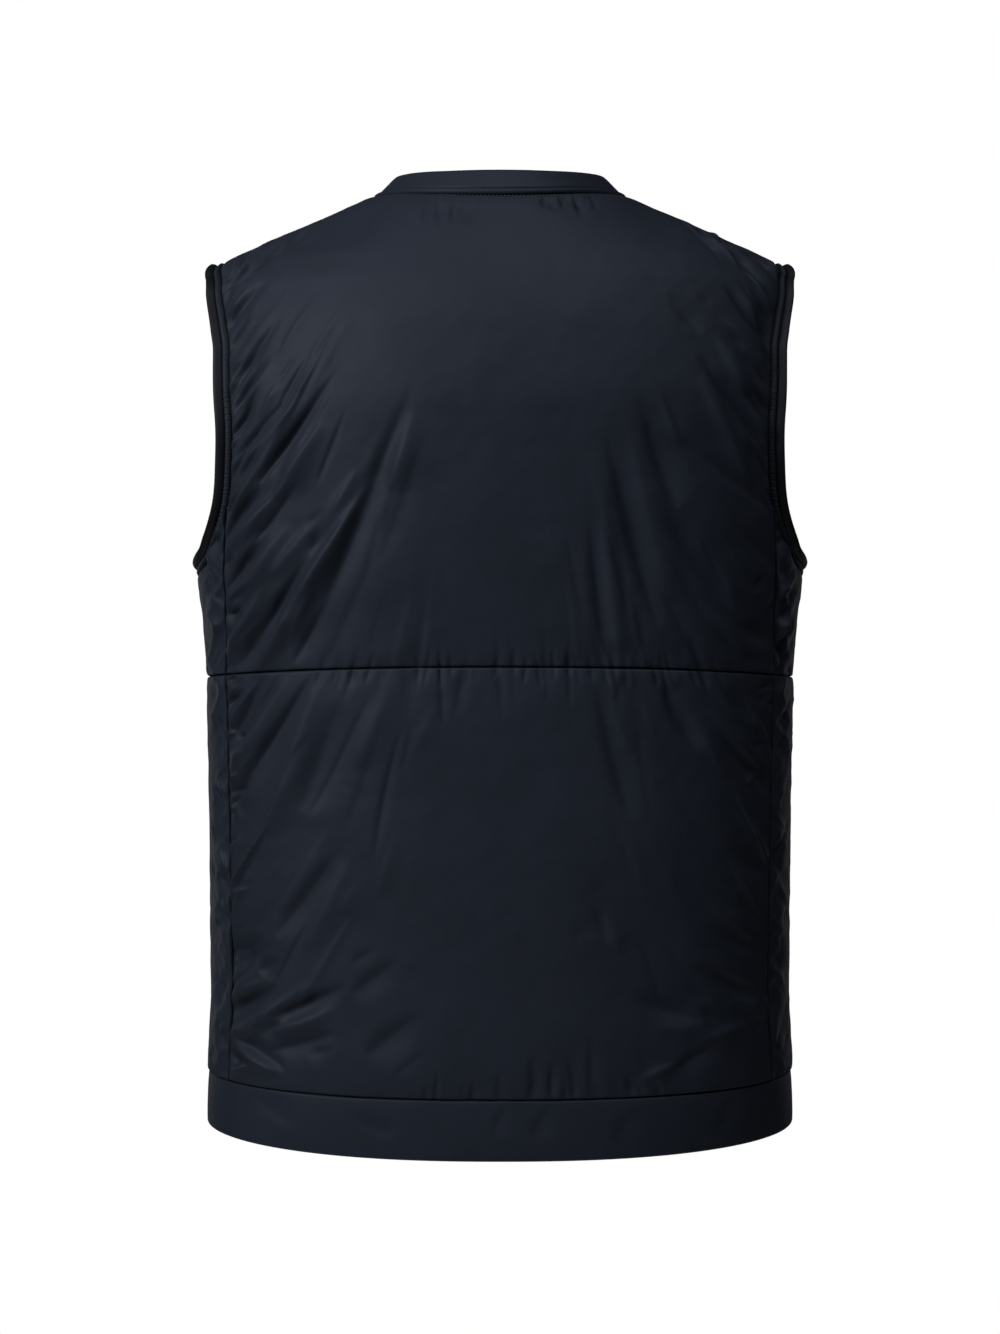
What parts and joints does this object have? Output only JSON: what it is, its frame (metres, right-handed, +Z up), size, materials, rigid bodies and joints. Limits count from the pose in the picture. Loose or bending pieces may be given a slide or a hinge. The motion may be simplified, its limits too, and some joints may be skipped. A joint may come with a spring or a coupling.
{
  "type": "padded gilet",
  "caption": "Sleeveless padded gilet in its worn, hollow form: round neck band, gathered armhole ridges, waist seam, hem band and a front zip with a hinged pull tab.",
  "frame": {"origin": "midway between the high points of the two shoulders, where the wearer carries the gilet", "axes": "+Z up; the front faces -Y; +X is the wearer's left"},
  "size_m": [0.4532, 0.2672, 0.7022],
  "materials": {
    "shell": "dark navy plain-woven nylon shell, soft satin sheen",
    "binding": "black-navy elastic binding, matt",
    "zip_tape": "dark navy herringbone zip tape, matt",
    "zip_teeth": "dark moulded nylon, satin",
    "zip_metal": "dark painted zinc, satin"
  },
  "bodies": {
    "garment": {"back_upper": "shell", "back_lower": "shell", "side_upper_left": "shell", "side_upper_right": "shell", "side_lower_left": "shell", "side_lower_right": "shell", "front_left": "shell", "front_right": "shell", "hem_band_back": "shell", "hem_band_front_left": "shell", "hem_band_front_right": "shell", "neck_ridge": "shell", "neck_band": "shell", "armhole_ridge_left": "shell", "armhole_ridge_right": "shell", "armhole_band_left": "binding", "armhole_band_right": "binding", "zip_tape_left": "zip_tape", "zip_tape_right": "zip_tape", "zip_teeth": "zip_teeth", "zip_slider": "zip_metal"},
    "pull_tab": {"zip_pull": "zip_metal"}
  },
  "joints": [
    {"name": "pull_tab_swing", "type": "hinge", "parent": "garment", "child": "pull_tab", "pos_m": [0, -0.0766, -0.09529], "axis": [-1, 0, 0], "range_deg": [0, 160]}
  ]
}
